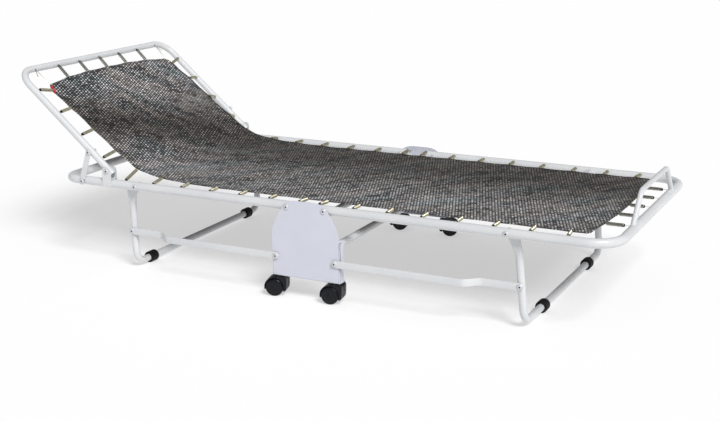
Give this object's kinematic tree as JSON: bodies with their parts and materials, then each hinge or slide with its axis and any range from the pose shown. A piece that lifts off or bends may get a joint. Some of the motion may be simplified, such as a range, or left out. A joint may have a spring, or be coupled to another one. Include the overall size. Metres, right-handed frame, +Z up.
{
  "type": "folding cot",
  "caption": "Folding cot on casters: two tube-framed halves fold up about side plates on parallelogram legs, with a propped backrest and a sprung mesh sling.",
  "frame": {"origin": "on the floor under the centre of the cot's bounding box, at rest with the backrest raised", "axes": "+X towards the foot end, along the bed; +Y to the sleeper's left; +Z up"},
  "size_m": [1.8229, 0.8012, 0.5673],
  "materials": {
    "frame_coat": "satin white powder coat on steel tube and flat bar",
    "plate_coat": "satin pale grey powder coat with a lavender cast on pressed sheet",
    "bolt_steel": "zinc-plated bolts and nuts, slightly dull",
    "zinc_steel": "zinc-plated screws and spring wire with a faint yellow cast",
    "sleeve_rubber": "matt black rubber",
    "caster_plastic": "black moulded plastic with a soft sheen",
    "sling_mesh": "woven PVC-coated mesh in black, grey and taupe with pale specks"
  },
  "bodies": {
    "root": {"side_plate_left": "plate_coat", "side_plate_right": "plate_coat", "cross_tube_head": "frame_coat", "cross_tube_foot": "frame_coat", "fold_pivot_bolt_head_left": "bolt_steel", "link_pivot_bolt_head_left": "bolt_steel", "cross_tube_screw_head_left": "zinc_steel", "fold_pivot_bolt_foot_left": "bolt_steel", "link_pivot_bolt_foot_left": "bolt_steel", "cross_tube_screw_foot_left": "zinc_steel", "fold_pivot_bolt_head_right": "bolt_steel", "link_pivot_bolt_head_right": "bolt_steel", "cross_tube_screw_head_right": "zinc_steel", "fold_pivot_bolt_foot_right": "bolt_steel", "link_pivot_bolt_foot_right": "bolt_steel", "cross_tube_screw_foot_right": "zinc_steel", "fabric_centre": "sling_mesh"},
    "head_half": {"head_half_frame": "frame_coat", "fabric_head": "sling_mesh", "head_leg_pivot_bolt_left": "bolt_steel", "head_leg_pivot_bolt_right": "bolt_steel", "hinge_bracket_left": "plate_coat", "hinge_bolt_left": "bolt_steel", "prop_pin_left": "bolt_steel", "hinge_bracket_right": "plate_coat", "hinge_bolt_right": "bolt_steel", "prop_pin_right": "bolt_steel"},
    "foot_half": {"foot_half_frame": "frame_coat", "fabric_foot": "sling_mesh", "foot_leg_pivot_bolt_left": "bolt_steel", "foot_leg_pivot_bolt_right": "bolt_steel", "mattress_hoop": "frame_coat"},
    "head_leg": {"head_leg": "frame_coat", "head_leg_sleeve_left": "sleeve_rubber", "head_leg_link_bolt_left": "bolt_steel", "head_leg_sleeve_right": "sleeve_rubber", "head_leg_link_bolt_right": "bolt_steel"},
    "foot_leg": {"foot_leg": "frame_coat", "foot_leg_sleeve_left": "sleeve_rubber", "foot_leg_link_bolt_left": "bolt_steel", "foot_leg_sleeve_right": "sleeve_rubber", "foot_leg_link_bolt_right": "bolt_steel"},
    "head_links": {"head_link_bar_left": "frame_coat", "head_link_bar_right": "frame_coat"},
    "foot_links": {"foot_link_bar_left": "frame_coat", "foot_link_bar_right": "frame_coat"},
    "backrest": {"prop_bolt_left": "bolt_steel", "prop_bolt_right": "bolt_steel", "backrest_frame": "frame_coat", "fabric_backrest": "sling_mesh"},
    "props": {"prop_left": "frame_coat", "prop_right": "frame_coat"},
    "caster_head_left": {"caster_hood_head_left": "caster_plastic"},
    "wheels_head_left": {"caster_wheels_head_left": "caster_plastic"},
    "caster_head_right": {"caster_hood_head_right": "caster_plastic"},
    "wheels_head_right": {"caster_wheels_head_right": "caster_plastic"},
    "caster_foot_left": {"caster_hood_foot_left": "caster_plastic"},
    "wheels_foot_left": {"caster_wheels_foot_left": "caster_plastic"},
    "caster_foot_right": {"caster_hood_foot_right": "caster_plastic"},
    "wheels_foot_right": {"caster_wheels_foot_right": "caster_plastic"}
  },
  "joints": [
    {"name": "head_fold", "type": "hinge", "parent": "root", "child": "head_half", "pos_m": [0.0065, 0, 0.255], "axis": [0, 1, 0], "range_deg": [0, 83]},
    {"name": "foot_fold", "type": "hinge", "parent": "root", "child": "foot_half", "pos_m": [0.1195, 0, 0.255], "axis": [0, -1, 0], "range_deg": [0, 83]},
    {"name": "head_leg_swing", "type": "hinge", "parent": "head_half", "child": "head_leg", "pos_m": [-0.493, 0, 0.255], "axis": [0, 1, 0], "range_deg": [-83, 0]},
    {"name": "foot_leg_swing", "type": "hinge", "parent": "foot_half", "child": "foot_leg", "pos_m": [0.626, 0, 0.255], "axis": [0, -1, 0], "range_deg": [-83, 0]},
    {"name": "head_link_swing", "type": "hinge", "parent": "root", "child": "head_links", "pos_m": [-0.0265, 0, 0.115], "axis": [0, 1, 0], "range_deg": [0, 83]},
    {"name": "foot_link_swing", "type": "hinge", "parent": "root", "child": "foot_links", "pos_m": [0.1525, 0, 0.115], "axis": [0, -1, 0], "range_deg": [0, 83]},
    {"name": "backrest_lower", "type": "hinge", "parent": "head_half", "child": "backrest", "pos_m": [-0.588, 0, 0.2925], "axis": [0, -1, 0], "range_deg": [0, 44]},
    {"name": "prop_swing", "type": "hinge", "parent": "backrest", "child": "props", "pos_m": [-0.64758, 0, 0.34285], "axis": [0, -1, 0], "range_deg": [-110, 0]},
    {"name": "caster_swivel_head_left", "type": "hinge", "parent": "root", "child": "caster_head_left", "pos_m": [-0.017, 0.368, 0.059], "axis": [0, 0, 1], "continuous": true},
    {"name": "wheel_spin_head_left", "type": "hinge", "parent": "caster_head_left", "child": "wheels_head_left", "pos_m": [0.00281, 0.37078, 0.025], "axis": [-0.1392, 0.9903, 0], "continuous": true},
    {"name": "caster_swivel_head_right", "type": "hinge", "parent": "root", "child": "caster_head_right", "pos_m": [-0.017, -0.368, 0.059], "axis": [0, 0, 1], "continuous": true},
    {"name": "wheel_spin_head_right", "type": "hinge", "parent": "caster_head_right", "child": "wheels_head_right", "pos_m": [-0.03632, -0.37318, 0.025], "axis": [0.2588, -0.9659, 0], "continuous": true},
    {"name": "caster_swivel_foot_left", "type": "hinge", "parent": "root", "child": "caster_foot_left", "pos_m": [0.155, 0.368, 0.059], "axis": [0, 0, 1], "continuous": true},
    {"name": "wheel_spin_foot_left", "type": "hinge", "parent": "caster_foot_left", "child": "wheels_foot_left", "pos_m": [0.17432, 0.37318, 0.025], "axis": [-0.2588, 0.9659, 0], "continuous": true},
    {"name": "caster_swivel_foot_right", "type": "hinge", "parent": "root", "child": "caster_foot_right", "pos_m": [0.155, -0.368, 0.059], "axis": [0, 0, 1], "continuous": true},
    {"name": "wheel_spin_foot_right", "type": "hinge", "parent": "caster_foot_right", "child": "wheels_foot_right", "pos_m": [0.1352, -0.37078, 0.025], "axis": [0.1392, -0.9903, 0], "continuous": true}
  ],
  "couplings": [
    {"joint": "head_leg_swing", "follows": "head_fold", "ratio": -1},
    {"joint": "head_link_swing", "follows": "head_fold", "ratio": 1},
    {"joint": "foot_leg_swing", "follows": "foot_fold", "ratio": -1},
    {"joint": "foot_link_swing", "follows": "foot_fold", "ratio": 1},
    {"joint": "prop_swing", "follows": "backrest_lower", "ratio": -2.5}
  ]
}
